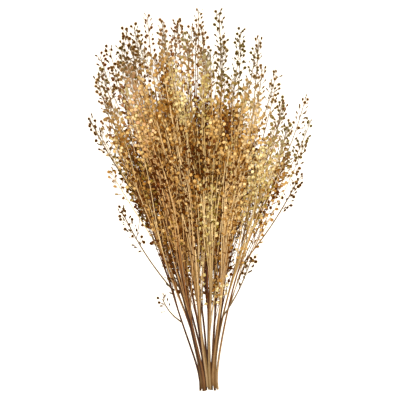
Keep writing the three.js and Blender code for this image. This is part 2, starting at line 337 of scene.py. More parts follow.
@dataclass(frozen=True)
class StemPlan:
    """Sizes and places of one cut stem: its own axis, its branches and the twigs that fill them out.

    Pairs named for an edge hold the left side's value and then the right side's. A stray twig stands well
    clear of the bunch, and its row gives its stem's layer and column, its root's and tip's heights, and the
    tip's offset. It is a little thicker than a branch, so that its bare stalk shows against the floor.
    """

    layout: BunchLayout
    number: int
    column: float
    layer: int
    tip_heights: tuple[float, ...] = (331, 379, 418, 445, 460, 446, 472, 460, 440, 432, 374, 352, 355)
    layer_drop: tuple[float, ...] = (0, 0, 30, 60)
    tip_jitter: float = 8.0
    cut_spread: float = 8.0
    low_cut_share: float = 0.25
    jitter: float = 0.07
    stem_radius: float = 1.5
    tip_radius: float = 0.45
    fine_tip_radius: float = 0.38
    branch_every: float = 58.0
    branch_from: float = 130.0
    branch_jitter: float = 0.35
    branch_twist: float = 0.37
    least_branch: float = 0.72
    lowest_tip: float = 200.0
    top_gap: float = 20.0
    trunk_spray: float = 88.0
    spray_length: tuple[float, float] = (58.0, 80.0)
    bare_length: tuple[float, float] = (30.0, 62.0)
    branch_reach: float = 0.4
    branch_rise: float = 0.3
    low_rise_share: float = 0.8
    branch_share: float = 0.6
    turn_up: tuple[float, float] = (1.5, 3.2)
    fill_from: float = 150.0
    fill_rise: float = 0.8
    host_clear: float = 0.35
    twig_rise: float = 0.85
    twig_twist: float = 0.61
    kind_twist: float = 0.1
    twig_thinning: float = 0.8
    outer_column: float = 3.0
    tall_tip: float = 450.0
    outward_share: float = 0.45
    pale_share: float = 0.9
    ceiling: float = 98.0
    clump: tuple[float, float] = (-0.65, 0.65)
    clump_share: tuple[float, float] = (0.4, 2.1)
    edge_fill: tuple[float, float] = (0.32, 0.32)
    edge_power: tuple[float, float] = (1.1, 2.0)
    edge_lift: tuple[float, float] = (0.0, 48.0)
    shelter_y: float = 160.0
    shelter_narrowing: float = 2.0
    outer_reach: tuple[float, float] = (215.0, 285.0)
    worn_dip: tuple[float, float, float] = (14.0, 26.0, 28.0)
    least_hue: float = 0.02
    hue_spread: float = 0.5
    hue_steps: tuple[float, float] = (0.31, 0.43)
    outer_hue: tuple[float, float] = (-0.35, 0.6)
    outer_drift: float = 0.1
    ridge: float = -0.12
    shoulder: tuple[float, float] = (0.42, 0.98)
    cover: float = 0.35
    dome: tuple[float, float] = (255.0, 365.0)
    tip_fall: float = 0.75
    waist_reach: tuple[float, float] = (310.0, 215.0)
    # Painted shade on stems deep in the bunch.
    painted_depth_shade: float = 0.85
    # Painted shade on stems from the waist down.
    painted_waist_shade: float = 0.13
    waist_spread: float = 0.6
    # Painted light: stems are lighter in each higher layer.
    painted_layer_light: float = 0.2
    half_width: float = 3.4
    stray_hue: float = 0.4
    stray_spray: float = 0.62
    stray_radii: tuple[float, float] = (1.0, 0.62)
    stray_twigs: tuple[tuple[float, ...], ...] = (
        (0, -3, 232, 336, -0.5, 0.12),
        (0, -3, 126, 222, -1.12, 0.12),
        (0, -3, 84, 113, -1.3, 0.3),
        (1, 2.5, 92, 162, 0.82, 0.1),
        (0, 3, 150, 262, 0.8, 0.1),
    )

    @property
    def tip_y(self) -> float:
        """Height of the stem's tip."""
        height = self.tip_heights[round(2 * (self.column + self.outer_column))] - self.layer_drop[self.layer]
        return height + self.tip_jitter * (draw(self.number, Salt.TIP) - 0.5)

    @property
    def foot_y(self) -> float:
        """Height of the cut end."""
        share = self.low_cut_share if self.layer == 0 else 1.0
        return share * self.cut_spread * draw(self.number, Salt.FOOT)

    def radius_at(self, y: Numbers) -> Numbers:
        """The stem's radius: from its foot's to its tip's by the height's share to the power of the taper."""
        return mix(self.stem_radius, self.tip_radius, (y / self.tip_y) ** TAPER)

    def axis_at(self, y: np.ndarray, across: np.ndarray, up: np.ndarray) -> np.ndarray:
        """Points at offsets from the stem's own axis, which strays a little from its place in the pile.

        Args:
            y: heights up the bunch in mm.
            across: offsets sideways, in pitches.
            up: offsets up, in layers.

        Returns:
            One row of x, y and z in mm for each height.
        """
        free = self.layout.free(y)
        stray_x = self.jitter * (2.0 * draw(self.number, Salt.STRAY_ACROSS) - 1.0)
        stray_z = self.jitter * (2.0 * draw(self.number, Salt.STRAY_UP) - 1.0) if self.layer else 0.0
        return self.layout.place(self.column + stray_x * free + across, self.layer + stray_z * free + up, y)

    def path(self, shoot: Shoot, t: np.ndarray) -> np.ndarray:
        """Points of a shoot at shares of its height."""
        across, up = shoot.offsets(t)
        return self.axis_at(mix(shoot.root_y, shoot.end_y, t), across, up)

    def weather(self, points: np.ndarray) -> np.ndarray:
        """How weathered the bunch is at points: 0 in its sheltered heart, 1 at its outermost sprays.

        It is a smooth step of the distance from a sheltered point low in the bunch, with sideways distances
        counted twice. The dip's place, half width and depth say where sprays are weathered further down.

        Args:
            points: rows of x, y and z in mm.

        Returns:
            A share for each point.
        """
        x, y = points[..., 0], points[..., 1]
        out = np.hypot(y - self.shelter_y, self.shelter_narrowing * (x - self.layout.middle_at(y)))
        place, width, dip = self.worn_dip
        out = out + dip * np.exp(-(((x - place) / width) ** 2))
        return smooth_step(out, *self.outer_reach)

    def side(self, points: np.ndarray) -> np.ndarray:
        """How far to the side points are: -1 at the left edge, 0 in the middle, 1 at the right edge."""
        x, y = points[..., 0], points[..., 1]
        return (x - self.layout.middle_at(y)) / (self.half_width * self.layout.pitch_at(y))

    def depth(self, points: np.ndarray) -> np.ndarray:
        """How deep in the bunch points are: 0 on its upper face and outermost sprays, 1 on the surface.

        The upper face stands over the top layer by a share of the pitch. From its ridge it comes down to the
        surface along the shoulder of each side, and falls towards the tips, where the upper layers end.

        Args:
            points: rows of x, y and z in mm.

        Returns:
            A share for each point.
        """
        y = points[..., 1]
        pitch = self.layout.pitch_at(y)
        pile = (len(self.layout.layers) - 1) * self.layout.layer_step * self.layout.rise_at(pitch)
        inner, outer = self.shoulder
        slope = np.clip((outer - np.abs(self.side(points) - self.ridge)) / (outer - inner), 0.0, 1.0)
        fall = 1.0 - self.tip_fall * smooth_step(y, *self.dome)
        face = self.layout.lift_at(y) + pile * slope * fall + self.cover * pitch
        return (1.0 - self.weather(points)) * np.clip(1.0 - points[..., 2] / face, 0.0, 1.0)

    def waist(self, points: np.ndarray) -> np.ndarray:
        """How near points are by height to the waist, which gets painted shade: 0 on the dome, 1 from the
        waist down.
        """
        return smooth_step(points[..., 1], *self.waist_reach)

    def hue(self, index: float, end_y: float) -> float:
        """A spray's own colour: 0 olive, 0.3 golden, 1 brown. The outermost dried olive or brown.

        Args:
            index: which spray of the stem it is.
            end_y: height of its tip.

        Returns:
            The hue, from 0 to 1.
        """
        share = float(self.weather(self.axis_at(np.array(end_y), 0.0, 0.0)))
        own_step, outer_step = self.hue_steps
        own = draw(index, own_step * self.number + Salt.HUE)
        outer = mix(*self.outer_hue, draw(index, outer_step * self.number + Salt.OUTER_HUE))
        outer = outer - self.outer_drift * self.column
        return min(max(self.least_hue + self.hue_spread * own + outer * share, 0.0), 1.0)

    def main_shoots(self) -> list[Shoot]:
        """The stem itself, its branches and its stray twigs, as in the solids.

        Returns:
            The shoots, with the stem first.
        """
        trunk_radii = (self.stem_radius, self.fine_tip_radius)
        none = (0.0, 0.0)
        hue = self.hue(0, self.tip_y)
        shoots = [Shoot(self.foot_y, self.tip_y, none, none, trunk_radii, self.trunk_spray, hue, 0)]
        count = round((self.tip_y - self.branch_from) / self.branch_every)
        for j in range(count):
            t = j + self.branch_jitter * draw(j, self.number + Salt.BRANCH_END)
            t = t / (count - 1 + self.branch_jitter)
            end_y = mix(self.lowest_tip, self.tip_y - self.top_gap, t)
            spray = mix(*self.spray_length, t)
            root_y = end_y - spray - mix(*self.bare_length, draw(j, self.number + Salt.BRANCH_BARE))
            angle = GOLDEN_ANGLE * (j + self.branch_twist * self.number)
            size = mix(self.least_branch, 1.0, draw(j, self.number + Salt.BRANCH_SIZE))
            rise = self.branch_rise * size * math.sin(angle)
            rise = (self.low_rise_share * abs(rise) if self.layer == 0 else rise) / self.layout.layer_step
            end = (self.branch_reach * size * math.cos(angle), rise)
            turn_up = mix(*self.turn_up, draw(j, self.number + Salt.BRANCH_TURN))
            shoots.append(self.branch(root_y, end_y, end, spray, j + 1, turn_up))
        for layer, column, root_y, end_y, reach, rise in self.stray_twigs:
            if (layer, column) == (self.layer, self.column):
                spray = min(self.spray_length[0], self.stray_spray * (end_y - root_y))
                twig = self.branch(root_y, end_y, (reach, rise), spray, len(shoots), self.turn_up[1])
                shoots.append(replace(twig, radii=self.stray_radii, hue=self.stray_hue, stray=True))
        return shoots

    def branch(
        self, root_y: float, end_y: float, end: tuple[float, float], spray: float, index: int, turn_up: float
    ) -> Shoot:
        """A branch that leaves the stem's axis, as its own shoot.

        Args:
            root_y: height of its root.
            end_y: height of its tip.
            end: its tip's offset, in pitches.
            spray: length of its spray.
            index: which branch of the stem it is.
            turn_up: how soon it turns up along the stem.

        Returns:
            The shoot.
        """
        radius = max(self.branch_share * self.radius_at(root_y), self.tip_radius)
        hue = self.hue(index, end_y)
        radii = (radius, self.fine_tip_radius)
        return Shoot(root_y, end_y, (0.0, 0.0), end, radii, spray, hue, 1, turn_up)

    def fill_twigs(self, main: list[Shoot], kind: TwigKind) -> list[Shoot]:
        """Twigs off the stem and its branches, each with a spray, which stay in the stem's own room.

        Args:
            main: the stem and its branches.
            kind: what the twigs are like.

        Returns:
            The twigs.
        """
        twigs = []
        count = round(self.fill_share(kind) * (self.tip_y - self.fill_from) / kind.every)
        lift = self.edge_lift[int(self.column > 0)] * (abs(self.column) / self.outer_column) ** 2
        tip_gap = kind.tip_gap * (self.tip_y / self.tall_tip) ** 2
        salt = self.number + kind.salt
        for j in range(count):
            t = ((j + draw(j, salt + Salt.TWIG_END)) / count) ** self.fill_rise
            end_y = mix(kind.lowest_end + lift, self.tip_y - tip_gap, t)
            spray = mix(*kind.spray, draw(j, salt + Salt.TWIG_SPRAY))
            root_y = end_y - spray - mix(*kind.bare, draw(j, salt + Salt.TWIG_BARE))
            hosts = [s for s in main if s.root_y < root_y < s.end_y - self.host_clear * s.spray]
            host = hosts[int(draw(j, salt + Salt.TWIG_HOST) * len(hosts))]
            host_t = np.array((root_y - host.root_y) / (host.end_y - host.root_y))
            root = tuple(float(v) for v in host.offsets(host_t))
            angle = GOLDEN_ANGLE * (j + self.twig_twist * self.number + self.kind_twist * kind.salt)
            size = mix(*kind.reach, draw(j, salt + Salt.TWIG_SIZE))
            end = self.kept_in(size * math.cos(angle), size * math.sin(angle), end_y, kind.arching)
            thin = self.twig_thinning
            radii = (mix(kind.radius, thin * kind.radius, t), thin * self.fine_tip_radius)
            hue = self.hue(j + kind.salt, end_y)
            turn_up = mix(*kind.turn_up, draw(j, salt + Salt.TWIG_TURN))
            # An arching twig's bark is drawn paler.
            pale_share = self.pale_share * kind.arching
            twigs.append(Shoot(root_y, end_y, root, end, radii, spray, hue, 2, turn_up, pale_share))
        return twigs

    def fill_share(self, kind: TwigKind) -> float:
        """How many of a kind's twigs the stem has: all in the bunch's middle, and fewer at its sides.

        A clumped kind also falls off from its thickest column by the exponential of the distance squared.

        Args:
            kind: what the twigs are like.

        Returns:
            The share of the full count, which a clump's thickest column exceeds.
        """
        side = int(self.column > 0)
        out = (abs(self.column) / self.outer_column) ** self.edge_power[side]
        share = mix(1.0, self.edge_fill[side], out)
        if not kind.clumped:
            return share
        column, width = self.clump
        return share * mix(*self.clump_share, math.exp(-(((self.column - column) / width) ** 2)))

    def kept_in(self, across: float, up: float, end_y: float, arching: bool) -> tuple[float, float]:
        """Keeps a twig's end off the surface, under the bunch's greatest height and off its sides.

        Args:
            across: the end's reach sideways, in pitches.
            up: its reach upwards.
            end_y: its height up the bunch.
            arching: whether it rises over its stem, as far as there is room.

        Returns:
            The end's offset across and up, in pitches and layers.
        """
        edge = (self.layout.layers[self.layer] - 1) / 2
        if abs(self.column) == edge and across * self.column > 0:
            across *= self.outward_share
        rise = self.twig_rise * up / self.layout.layer_step
        if self.layer == 0:
            return across, abs(rise)
        level, top = (self.axis_at(np.array(end_y), across, lifted)[2] for lifted in (0.0, abs(rise)))
        if arching:
            room = (self.ceiling - level) / (top - level)
            return across, abs(rise) * min(1.0, room)
        return across, -abs(rise) if top > self.ceiling else rise


# Meshes


def fan(start: int, count: int, centre: int) -> np.ndarray:
    """Triangles from each edge of a ring to one centre: k, k + 1 and the centre, round the ring.

    Args:
        start: number of the ring's first vertex.
        count: vertices in the ring.
        centre: number of the centre's vertex.

    Returns:
        One row for each triangle.
    """
    first = np.arange(count)
    return np.column_stack([start + first, start + (first + 1) % count, np.full(count, centre)])


class Finish(Enum):
    """Material slots of a fine stem."""

    STEM = 0
    POD = 1
    PITH = 2


@dataclass
class MeshParts:
    """Vertices, triangles, a tone for each vertex and a finish for each triangle, gathered piece by piece."""

    points: list[np.ndarray] = field(default_factory=list)
    triangles: list[np.ndarray] = field(default_factory=list)
    tones: list[np.ndarray] = field(default_factory=list)
    finishes: list[np.ndarray] = field(default_factory=list)
    size: int = 0

    def add(self, points: np.ndarray, triangles: np.ndarray, tones: np.ndarray, finish: Finish) -> None:
        """Adds a closed surface.

        Args:
            points: its vertices in skeleton millimetres.
            triangles: its triangles, by vertex number.
            tones: red, green, blue and alpha of the tone attribute for each vertex.
            finish: its material's slot.
        """
        self.points.append(points)
        self.triangles.append(triangles + self.size)
        self.tones.append(tones)
        self.finishes.append(np.full(len(triangles), finish.value, dtype=np.int32))
        self.size += len(points)

    def to_object(self, name: str, layout: BunchLayout, materials: list[Material]) -> bpy.types.Object:
        """Makes the Blender object, whose mesh holds its place.

        Args:
            name: the piece's name.
            layout: turns skeleton millimetres into the frame's metres.
            materials: one for each slot number.

        Returns:
            The linked object.
        """
        points = layout.to_frame(np.concatenate(self.points))
        triangles = np.concatenate(self.triangles).astype(np.int32)
        tones = np.concatenate(self.tones)
        mesh = bpy.data.meshes.new(name)
        mesh.vertices.add(len(points))
        mesh.vertices.foreach_set("co", points.astype(np.float32).ravel())
        mesh.loops.add(triangles.size)
        mesh.loops.foreach_set("vertex_index", triangles.ravel())
        mesh.polygons.add(len(triangles))
        mesh.polygons.foreach_set("loop_start", np.arange(0, triangles.size, 3, dtype=np.int32))
        mesh.polygons.foreach_set("material_index", np.concatenate(self.finishes))
        mesh.polygons.foreach_set("use_smooth", np.ones(len(triangles), dtype=bool))
        mesh.update(calc_edges=True)
        mesh.set_sharp_from_angle(angle=math.radians(RIM_ANGLE))
        tone = mesh.color_attributes.new("tone", "FLOAT_COLOR", "POINT")
        tone.data.foreach_set("color", tones.astype(np.float32).ravel())
        for material in materials:
            mesh.materials.append(material)
        piece = bpy.data.objects.new(name, mesh)
        bpy.context.scene.collection.objects.link(piece)
        return piece


def tube(path: np.ndarray, radii: np.ndarray, sides: int) -> tuple[np.ndarray, np.ndarray, np.ndarray]:
    """A closed tube: rings of points at radius r round the path, square to it, with a cap point at each end.

    Args:
        path: the centre of each ring.
        radii: the radius of each ring.
        sides: points in each ring.

    Returns:
        Vertices, triangles, and each vertex's share of the way along.
    """
    rings = len(path)
    along = unit(np.gradient(path, axis=0))
    side = unit(np.cross(along, UP))
    top = np.cross(side, along)
    angles = 2 * np.pi * (np.arange(sides) + 0.5) / sides - np.pi / 2
    circle = np.cos(angles)[None, :, None] * side[:, None] + np.sin(angles)[None, :, None] * top[:, None]
    points = (path[:, None] + radii[:, None, None] * circle).reshape(-1, 3)
    points = np.vstack([points, path[0], path[-1] + along[-1] * radii[-1]])
    i, k = np.meshgrid(np.arange(rings - 1), np.arange(sides), indexing="ij")
    a = (i * sides + k).ravel()
    b = (i * sides + (k + 1) % sides).ravel()
    quads = np.vstack([np.column_stack([a, b + sides, b]), np.column_stack([a, a + sides, b + sides])])
    foot = fan(0, sides, rings * sides)
    end = fan((rings - 1) * sides, sides, rings * sides + 1)[:, [1, 0, 2]]
    shares = np.append(np.repeat(np.linspace(0, 1, rings), sides), [0.0, 1.0])
    return points, np.vstack([quads, foot, end]), shares


@dataclass(frozen=True)
class PodShape:
    """One seed pod on its stalk: a round, spoon-shaped disc with a shallow notch, 4.7 mm long.

    Its rim runs round an ellipse, and turns up a little towards the tip. The side towards the spray's axis is
    hollow and the other side bulges. The stalk is thinner at its bend, and thicker where it meets the pod.
    """

    length: float = 4.7
    width: float = 4.25
    bulge: float = 0.95
    bulge_place: float = 0.46
    hollow: float = 0.1
    rim_lift: float = 0.3
    lift_mean: float = 0.55
    lift_swing: float = 0.45
    rim_angles: tuple[float, ...] = (0, 26, 62, 98, 136, 180, 224, 262, 298, 334)
    rim_reach: tuple[float, ...] = (0.86, 1.02, 1.03, 1.0, 0.97, 1.0, 0.97, 1.0, 1.03, 1.02)
    stalk_radius: float = 0.3
    stalk_bend: float = 0.08
    stalk_sides: int = 3
    bend_share: float = 0.85
    foot_share: float = 1.2
    stalk_overlap: float = 0.5

    def local(self) -> tuple[np.ndarray, np.ndarray, np.ndarray]:
        """The pod in its own axes: out from the stalk, across, and towards the spray's axis.

        Returns:
            Vertices, triangles, and each vertex's side: 0 hollow, 0.5 on the rim, 1 bulging.
        """
        angles = np.radians(self.rim_angles)
        reach = np.array(self.rim_reach)
        out = self.length * (0.5 + 0.5 * reach * np.cos(angles))
        across = 0.5 * self.width * reach * np.sin(angles)
        lift = self.rim_lift * (self.lift_mean + self.lift_swing * np.cos(angles))
        rim = np.column_stack([out, across, lift])
        inner = [0.5 * self.length, 0.0, -self.hollow]
        outer = [self.bulge_place * self.length, 0.0, -self.bulge]
        count = len(rim)
        triangles = np.vstack([fan(0, count, count), fan(0, count, count + 1)[:, [1, 0, 2]]])
        sides = np.append(np.full(count, 0.5), [0.0, 1.0])
        return np.vstack([rim, inner, outer]), triangles, sides

    def stalks(self, length: np.ndarray) -> tuple[np.ndarray, np.ndarray]:
        """Bent three-sided stalks from the spray's axis into the pod's foot, in each pod's own axes.

        Args:
            length: each stalk's length.

        Returns:
            Vertices for each stalk, and the triangles that all of them share.
        """
        sides = self.stalk_sides
        angles = 2 * np.pi * np.arange(sides) / sides
        ring = self.stalk_radius * np.column_stack([np.zeros(sides), np.cos(angles), np.sin(angles)])
        bend = np.stack([0.5 * length, 0 * length, -self.stalk_bend * length], axis=-1)
        foot = np.stack([length, 0 * length, 0 * length], axis=-1)
        start = np.zeros_like(bend)
        end = foot + np.array([self.stalk_overlap, 0.0, 0.0])
        rings = [bend[:, None] + self.bend_share * ring, foot[:, None] + self.foot_share * ring]
        points = np.concatenate([start[:, None], *rings, end[:, None]], axis=1)
        start_fan = fan(1, sides, 0)[:, [2, 1, 0]]
        end_fan = fan(1 + sides, sides, 2 * sides + 1)
        first, following = fan(1, sides, 0)[:, :2].T
        band = [
            np.column_stack([first, following, sides + following]),
            np.column_stack([first, sides + following, sides + first]),
        ]
        return points, np.vstack([start_fan, *band, end_fan])


@dataclass(frozen=True)
class PodPlacing:
    """How pods stand on a spray, and how they are shaded.

    The stalk's length, its lean and the pod's size are given at a spray's foot and then at its tip, and the
    share of lost pods at its tip and then at its foot. The heart is the bunch's middle, where painted shade
    darkens the pods and turns them browner: an ellipse by its place and half sizes in skeleton millimetres,
    and its tilt to the right in degrees. A band of painted light lightens the right side: its place is a
    share of the way to the right edge, with a half width. The painted shade on the left side and its power
    are given on the dome and then at the waist. Over the crown's heights painted shade darkens the top of
    the bunch.
    """

    spacing: float = 2.6
    stray_spacing: float = 1.7
    least_pods: int = 6
    first_pod: float = 0.3
    crowding: float = 0.7
    lost: tuple[float, float] = (0.02, 0.2)
    stalk: tuple[float, float] = (6.2, 4.2)
    stalk_range: tuple[float, float] = (0.85, 1.15)
    widening: float = 0.45
    turn_stray: float = 0.2
    lean: tuple[float, float] = (62.0, 38.0)
    lean_stray: float = 7.0
    tries: int = 4
    held_in: float = 0.6
    turned_off_floor: float = 0.2
    nod: float = 16.0
    nod_stray: float = 12.0
    roll_stray: float = 50.0
    pod_size: tuple[float, float] = (1.0, 0.9)
    size_range: tuple[float, float] = (0.88, 1.07)
    stem_tone: float = 0.22
    spray_tone: float = 0.74
    heart: tuple[float, float, float, float] = (-10.0, 288.0, 80.0, 82.0)
    heart_tilt: float = 30.0
    # Painted shade in the heart: how much it darkens the pods, and how far it turns their hue browner.
    painted_heart_shade: float = 0.54
    painted_heart_shade_hue: float = 0.35
    hue_stray: float = 0.05
    # A band of painted light on the right side.
    painted_light_right: float = 0.32
    painted_light_place: tuple[float, float] = (0.66, 0.14)
    # Painted shade on the left side, on the dome and then at the waist.
    painted_left_shade: tuple[float, float] = (0.28, 0.44)
    left_power: tuple[float, float] = (3.0, 1.0)
    # Painted shade on pods from the waist down.
    painted_waist_shade: float = 0.29
    crown: tuple[float, float] = (325.0, 375.0)
    # Painted shade over the crown's heights.
    painted_crown_shade: float = 0.12
    stray_shade: float = 0.26
    mean_tone: float = 0.7
    tone_spread: float = 1.4
    # Painted shade on pods deep in the bunch.
    painted_deep_shade: float = 0.88
    least_worn_tone: float = 0.44
    worn_light: float = 0.38
    waist_spread: float = 0.5

    def heart_share(self, points: np.ndarray) -> np.ndarray:
        """How near points are to the heart's middle: 1 there, down to 0 by a smooth step at its edge.

        Args:
            points: rows of x, y and z in mm.

        Returns:
            A share for each point.
        """
        x, y, wide, high = self.heart
        tilt = math.radians(self.heart_tilt)
        right, up = points[:, 0] - x, points[:, 1] - y
        across = math.cos(tilt) * right - math.sin(tilt) * up
        along = math.sin(tilt) * right + math.cos(tilt) * up
        return 1.0 - smooth_step(np.hypot(across / wide, along / high), 0.0, 1.0)


@dataclass
class FineStem:
    """One cut stem with all its sprays, as a single mesh."""

    plan: StemPlan
    pod: PodShape = field(default_factory=PodShape)
    placing: PodPlacing = field(default_factory=PodPlacing)
    trunk_sides: int = 8
    trunk_step: float = 11.0
    twig_sides: int = 5
    twig_step: float = 9.0
    least_rings: int = 4
    pith_share: float = 0.62
    pith_proud: float = 0.06
    pith_depth: float = 0.3
    pith_clear: float = 0.05
    cut_step: float = 0.004
    floor_clear: float = 1.2
    spray_samples: int = 90
    along_step: float = 0.01
    first_seed: int = 1000

    def build(self, low: np.ndarray, high: np.ndarray) -> MeshParts:
        """Builds stems and pods.

        Args:
            low: lowest corner that the mesh may reach, in skeleton millimetres.
            high: highest corner.

        Returns:
            The gathered surfaces.
        """
        parts = MeshParts()
        main = self.plan.main_shoots()
        fill = [twig for kind in TWIG_KINDS for twig in self.plan.fill_twigs(main, kind)]
        shoots = main + fill
        rng = np.random.default_rng(self.first_seed + self.plan.number)
        for index, shoot in enumerate(shoots):
            self.add_wood(parts, shoot, index)
        self.add_pith(parts, main[0])
        for shoot in shoots:
            self.add_pods(parts, shoot, rng, low, high)
        return parts

    def add_wood(self, parts: MeshParts, shoot: Shoot, index: int) -> None:
        """Adds a shoot's tube, whose radius falls from root to tip by the share along to the taper's power.

        Its tone is the shoot's own draw, with painted light that makes it lighter in each higher layer, and
        painted shade that makes it darker deep in the bunch and at the waist, where the tones also lie
        further apart.

        Args:
            parts: where the surface goes.
            shoot: the stem, branch or twig.
            index: which shoot of the stem it is.
        """
        trunk = shoot.order == 0
        step = self.trunk_step if trunk else self.twig_step
        rings = max(self.least_rings, math.ceil((shoot.end_y - shoot.root_y) / step))
        t = np.linspace(0, 1, rings + 1)
        path = self.plan.path(shoot, t)
        radii = mix(*shoot.radii, t**TAPER)
        lowest = self.plan.layout.floor_axis * radii / radii[0] if trunk else radii
        path[:, 2] = np.maximum(path[:, 2], lowest)
        points, triangles, shares = tube(path, radii, self.trunk_sides if trunk else self.twig_sides)
        points[:, 2] = np.maximum(points[:, 2], 0.0)
        own = draw(index, self.plan.number + Salt.WOOD_TONE)
        # Painted light: stems in each higher layer are drawn lighter.
        own = mix(own, 1.0, self.plan.painted_layer_light * self.plan.layer)
        # Painted shade: stems deep in the bunch are drawn darker.
        own = mix(own, 1.0, shoot.pale_share) - self.plan.painted_depth_shade * self.plan.depth(points)
        # Painted shade: stems from the waist down are drawn darker, and their tones lie further apart.
        own = own + self.plan.waist(points) * (self.plan.waist_spread * (own - 0.5) - self.plan.painted_waist_shade)
        hues = np.full(len(points), shoot.hue)
        weather = np.maximum(self.plan.weather(points), shoot.stray)
        tones = np.column_stack([np.clip(own, 0, 1), shares, hues, weather])
        parts.add(points, triangles, tones, Finish.STEM)

    def add_pith(self, parts: MeshParts, trunk: Shoot) -> None:
        """Adds the pale pith of the cut end, a thin disc that stands just proud of the cut.

        Args:
            parts: where the surface goes.
            trunk: the stem itself.
        """
        start, ahead = self.plan.path(trunk, np.array([0.0, self.cut_step]))
        along = unit(ahead - start)
        ends = np.vstack([start - self.pith_proud * along, start + self.pith_depth * along])
        radius = self.pith_share * self.plan.stem_radius
        ends[:, 2] = np.maximum(ends[:, 2], radius + self.pith_clear)
        radii = np.full(2, radius)
        points, triangles, shares = tube(ends, radii, self.trunk_sides)
        half = np.full(len(points), 0.5)
        tones = np.column_stack([half, shares, half, half])
        parts.add(points, triangles, tones, Finish.PITH)

    def spray_stations(self, shoot: Shoot) -> tuple[np.ndarray, np.ndarray, np.ndarray]:
        """Places of the pods along a spray, closer together towards its tip.

        The distance back from the tip is the spray's length times c u + (1 - c) u squared, with c the
        crowding. A stray twig's pods stand closer, so that it shows against the floor.

        Args:
            shoot: the shoot that ends in the spray.

        Returns:
            Points on the spray's axis, directions along it, and shares from 0 at the tip to 1 at its foot.
        """
        t = np.linspace(0, 1, self.spray_samples)
        path = self.plan.path(shoot, t)
        steps = np.linalg.norm(np.diff(path, axis=0), axis=1)
        back = np.append(np.cumsum(steps[::-1])[::-1], 0.0)
        spacing = self.placing.stray_spacing if shoot.stray else self.placing.spacing
        count = max(self.placing.least_pods, round(shoot.spray / spacing))
        share = (np.arange(count) + self.placing.first_pod) / count
        crowd = self.placing.crowding
        distance = shoot.spray * (crowd * share + (1 - crowd) * share**2)
        at = np.interp(distance, back[::-1], t[::-1])
        points = self.plan.path(shoot, at)
        ahead = self.plan.path(shoot, np.minimum(at + self.along_step, 1.0))
        behind = self.plan.path(shoot, at - self.along_step)
        return points, unit(ahead - behind), share

    @staticmethod
    def leaning_axes(
        along: np.ndarray, spoke: np.ndarray, across: np.ndarray, lean: np.ndarray, roll: np.ndarray
    ) -> np.ndarray:
        """Axes of stalks or pods that lean out from a spray's axis T along a spoke r.

        The first is cos b T + sin b r for a lean of b, the second goes across, and the third is square to
        both. The last two are turned about the first by the roll.

        Args:
            along: directions of the spray's axis.
            spoke: directions out from it.
            across: directions square to both.
            lean: angles from the axis.
            roll: angles about the first axis.

        Returns:
            Three rows for each stalk or pod: out, across and facing.
        """
        out = np.cos(lean)[:, None] * along + np.sin(lean)[:, None] * spoke
        facing = np.cross(out, across)
        turned = np.cos(roll)[:, None] * across + np.sin(roll)[:, None] * facing
        return np.stack([out, turned, np.cross(out, turned)], axis=1)

    def add_pods(
        self, parts: MeshParts, shoot: Shoot, rng: np.random.Generator, low: np.ndarray, high: np.ndarray
    ) -> None:
        """Adds a spray's pods in a spiral round its axis.

        Each stalk leans out from the axis along a spoke, and its pod nods back towards the axis. The pod's
        hollow face looks along and towards the axis, and both stray a little. A pod that would leave the box
        leans out less and less, and is left off if it still does.

        Args:
            parts: where the surfaces go.
            shoot: the shoot that ends in the spray.
            rng: the stem's seeded draw.
            low: lowest corner that a pod may reach.
            high: highest corner.
        """
        place = self.placing
        points, along, share = self.spray_stations(shoot)
        count = len(points)
        wide = share**place.widening
        turn = GOLDEN_ANGLE * np.arange(count) + rng.uniform(0, 2 * np.pi)
        turn = turn + rng.normal(0, place.turn_stray, count)
        side = unit(np.cross(along, UP))
        top = np.cross(side, along)
        spoke = np.cos(turn)[:, None] * side + np.sin(turn)[:, None] * top
        stalk = mix(*place.stalk[::-1], wide) * rng.uniform(*place.stalk_range, count)
        size = mix(*place.pod_size[::-1], wide) * rng.uniform(*place.size_range, count)
        lean = np.radians(mix(*place.lean[::-1], wide) + rng.normal(0, place.lean_stray, count))
        reach = (stalk + self.pod.length * size) * np.sin(lean)
        dips = points[:, 2] + reach * spoke[:, 2] < self.floor_clear
        spoke[:, 2] = np.where(dips, -place.turned_off_floor * spoke[:, 2], spoke[:, 2])
        spoke = unit(spoke - np.sum(spoke * along, axis=1)[:, None] * along)
        across = unit(np.cross(along, spoke))
        nod = np.radians(rng.normal(place.nod, place.nod_stray, count))
        roll = np.radians(rng.normal(0, place.roll_stray, count))
        pod_points, pod_triangles, pod_sides = self.pod.local()
        local_stalks, stalk_triangles = self.pod.stalks(stalk)
        for _ in range(place.tries):
            stalk_axes = self.leaning_axes(along, spoke, across, lean, np.zeros(count))
            pod_axes = self.leaning_axes(along, spoke, across, lean - nod, roll)
            feet = points + stalk[:, None] * stalk_axes[:, 0]
            pods = feet[:, None] + pod_points[None] * size[:, None, None] @ pod_axes
            inside = np.all(pods.min(axis=1) > low, axis=1) & np.all(pods.max(axis=1) < high, axis=1)
            lean = np.where(inside, lean, place.held_in * lean)
        stalks = points[:, None] + local_stalks @ stalk_axes
        kept = inside & (rng.random(count) > mix(*place.lost, share**3))
        own, hue, weather = (values[kept] for values in self.pod_tones(shoot, points, rng))
        for surfaces, triangles, shares, finish in (
            (pods[kept], pod_triangles, pod_sides, Finish.POD),
            (stalks[kept], stalk_triangles, np.ones(stalks.shape[1]), Finish.STEM),
        ):
            number, per = surfaces.shape[:2]
            if not number:
                continue
            faces = (triangles[None] + (np.arange(number) * per)[:, None, None]).reshape(-1, 3)
            own_each, hue_each, worn_each = (np.repeat(values, per) for values in (own, hue, weather))
            tones = np.column_stack([own_each, np.tile(shares, number), hue_each, worn_each])
            parts.add(surfaces.reshape(-1, 3), faces, tones, finish)

